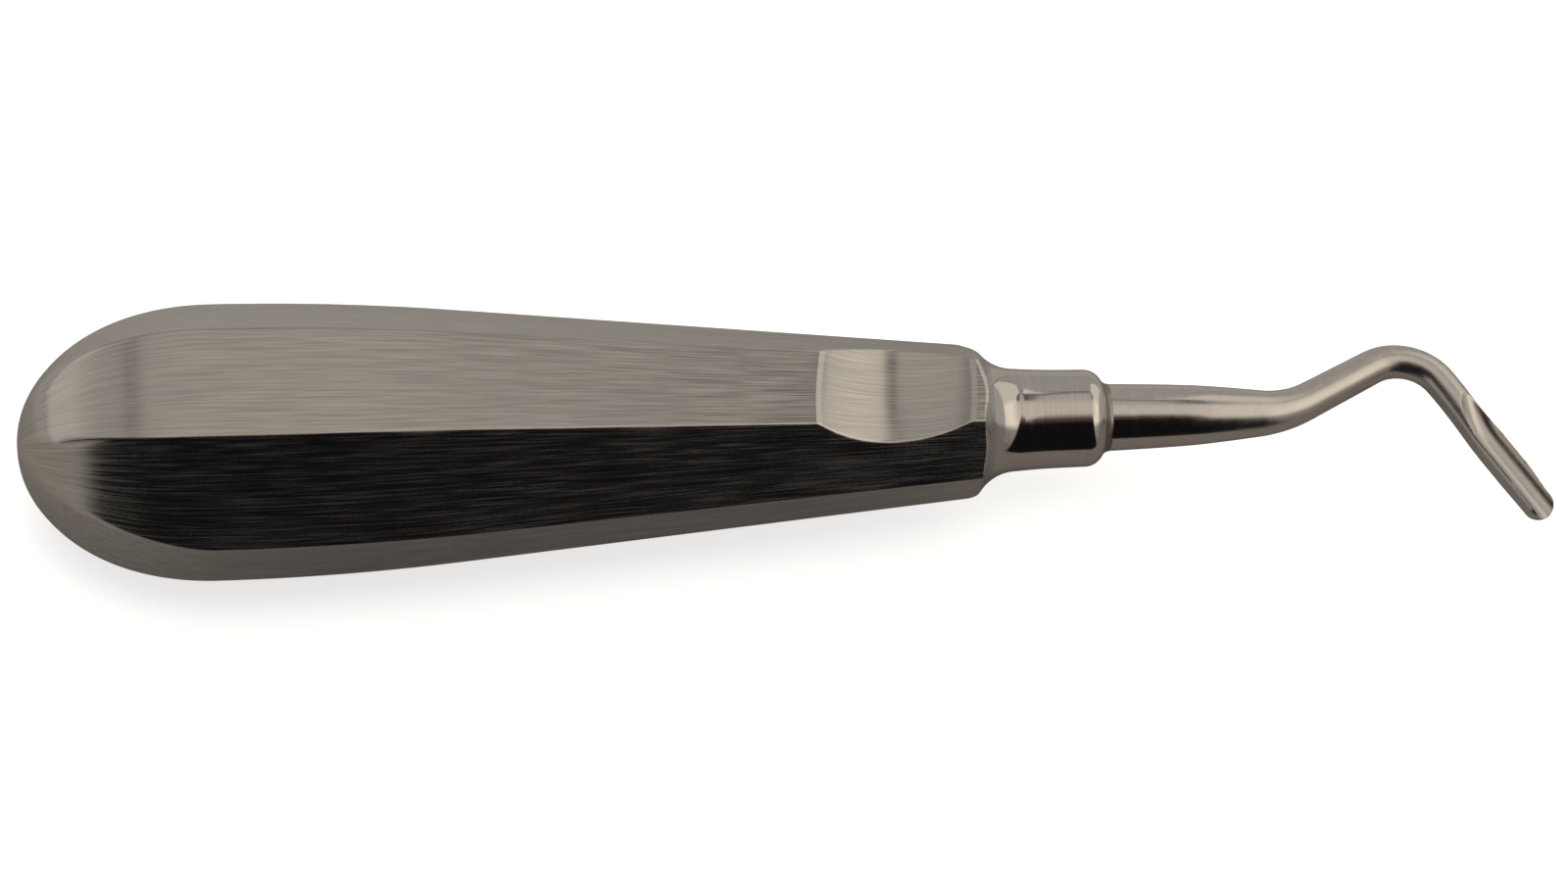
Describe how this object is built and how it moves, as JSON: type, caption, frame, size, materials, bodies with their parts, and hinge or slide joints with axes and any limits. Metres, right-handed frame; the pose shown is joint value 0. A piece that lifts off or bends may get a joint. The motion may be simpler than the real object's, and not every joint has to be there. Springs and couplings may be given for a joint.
{
  "type": "dental elevator",
  "caption": "Straight-handled dental root elevator: hollow faceted steel handle with a thumb rest, a turned ferrule and a bent shank with a fluted blade.",
  "frame": {"origin": "centre of the ferrule's mouth, on the handle's axis, where the shank comes out", "axes": "+X along the handle's axis from the butt towards the blade; +Z towards the side with the thumb rest; the shank bends in the XY plane, first to +Y and then back to -Y"},
  "size_m": [0.1486, 0.0265, 0.0245],
  "materials": {
    "handle_steel": "brushed lengthwise, satin",
    "weld_steel": "ground flush and brushed",
    "ferrule_steel": "turned and polished",
    "braze_metal": "dull braze, slightly tarnished",
    "shank_steel": "polished"
  },
  "bodies": {
    "root": {"handle_shell_upper": "handle_steel", "handle_shell_lower": "handle_steel", "shell_seam_weld": "weld_steel", "ferrule": "ferrule_steel", "ferrule_weld": "weld_steel", "braze_ring": "braze_metal", "shank_blade": "shank_steel"}
  },
  "joints": []
}
